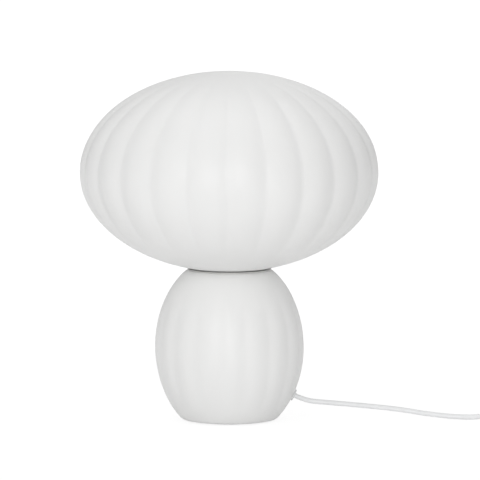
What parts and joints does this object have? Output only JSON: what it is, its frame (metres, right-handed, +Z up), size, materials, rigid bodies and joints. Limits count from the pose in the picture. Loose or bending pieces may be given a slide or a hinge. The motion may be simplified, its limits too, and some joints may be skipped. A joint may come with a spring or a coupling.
{
  "type": "mushroom table lamp",
  "caption": "Small table lamp with a wide, low ribbed opal glass shade seated on a fluted egg-shaped opal glass base; flat cord with rocker switch and plug.",
  "frame": {"origin": "middle of the underside of the foot pad, on the lamp's axis", "axes": "+Z up along the centre rod, +X towards the cord's exit, -Y towards the front"},
  "size_m": [0.5337, 0.234, 0.2748],
  "materials": {
    "black_plastic": "phenolic black",
    "black_rubber": "matte",
    "blue_insulation": "blue",
    "board": "white board",
    "brass": "plain",
    "brown_insulation": "brown",
    "bulb_diffuser": "opal white",
    "bulb_metal": "bright",
    "clear_silicone": "translucent white",
    "cord_sheath": "soft white",
    "foot_felt": "white foam felt",
    "opal_glass": "satin opal white",
    "pin_metal": "nickel plated",
    "tie_fabric": "white strap",
    "white_plastic": "white",
    "white_steel": "white powder coat",
    "zinc_steel": "zinc plated"
  },
  "bodies": {
    "base": {"base_glass": "opal_glass", "bottom_gasket": "black_rubber", "centre_contact": "brass", "centre_rod": "zinc_steel", "cord_coil": "cord_sheath", "cord_feed": "cord_sheath", "cord_grommet": "clear_silicone", "cord_lead": "cord_sheath", "cord_tail": "cord_sheath", "cord_tie": "tie_fabric", "fitter_cup": "white_steel", "foot_pad": "foot_felt", "holder_cap": "white_plastic", "holder_insert": "black_plastic", "holder_sleeve": "white_plastic", "inner_cord": "cord_sheath", "live_lead": "brown_insulation", "neutral_lead": "blue_insulation", "plug_body": "white_plastic", "plug_pin_sleeves": "white_plastic", "plug_pins": "pin_metal", "plug_relief": "cord_sheath", "rod_nuts": "zinc_steel", "rod_washers": "zinc_steel", "screw_shell": "brass", "shade_seat_ring": "clear_silicone", "side_contact": "brass", "switch_base": "white_plastic", "switch_contacts": "brass", "switch_cover": "white_plastic", "switch_live_lead": "brown_insulation", "switch_neutral_lead": "blue_insulation", "switch_reliefs": "cord_sheath", "switch_screws": "zinc_steel", "terminal_screws": "brass"},
    "shade": {"shade_glass": "opal_glass"},
    "bulb": {"bulb_cap": "bulb_metal", "bulb_collar": "white_plastic", "bulb_globe": "bulb_diffuser", "bulb_insulator": "black_plastic", "bulb_led_board": "board", "bulb_tip": "bulb_metal"},
    "switch_rocker": {"switch_rocker": "white_plastic", "switch_bridge": "brass"}
  },
  "joints": [
    {"name": "shade_lift", "type": "slide", "parent": "base", "child": "shade", "axis": [0, 0, 1], "range_m": [0, 0.14]},
    {"name": "bulb_turn", "type": "hinge", "parent": "base", "child": "bulb", "pos_m": [0, 0, 0.15], "axis": [0, 0, 1], "range_deg": [0, 1080]},
    {"name": "rocker_tip", "type": "hinge", "parent": "base", "child": "switch_rocker", "pos_m": [0.277, 0, 0.0125], "axis": [0, -1, 0], "range_deg": [0, 16]}
  ]
}
